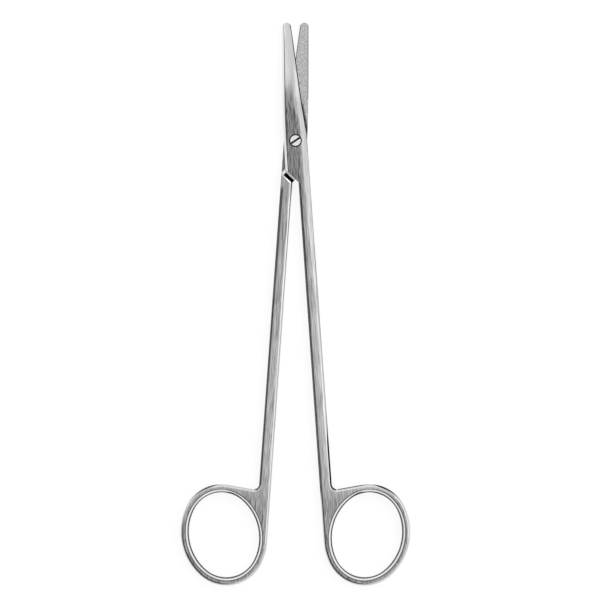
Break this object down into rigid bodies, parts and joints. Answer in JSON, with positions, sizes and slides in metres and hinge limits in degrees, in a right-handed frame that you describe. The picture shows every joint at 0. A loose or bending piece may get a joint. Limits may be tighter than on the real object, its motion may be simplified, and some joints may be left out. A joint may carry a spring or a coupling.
{
  "type": "dissecting scissors",
  "caption": "Slender dissecting scissors with long shanks, short straight blades with blunt rounded tips, a lap joint on a slotted pivot screw, and oval finger rings.",
  "frame": {"origin": "on the pivot axis, at the flat back face of the joint, which the scissors lie on", "axes": "+Y from the joint to the blade tips, +Z along the pivot axis to the screw's head"},
  "size_m": [0.0736, 0.1802, 0.0041],
  "materials": {
    "satin_steel": "satin brushed along the shanks, matte ground inner faces",
    "screw_steel": "bright turned head"
  },
  "bodies": {
    "back_half": {"back_half": "satin_steel", "pivot_screw": "screw_steel"},
    "front_half": {"front_half": "satin_steel"}
  },
  "joints": [
    {"name": "pivot", "type": "hinge", "parent": "back_half", "child": "front_half", "pos_m": [0, 0, 0.002], "axis": [0, 0, 1], "range_deg": [-7.4, 60]}
  ]
}
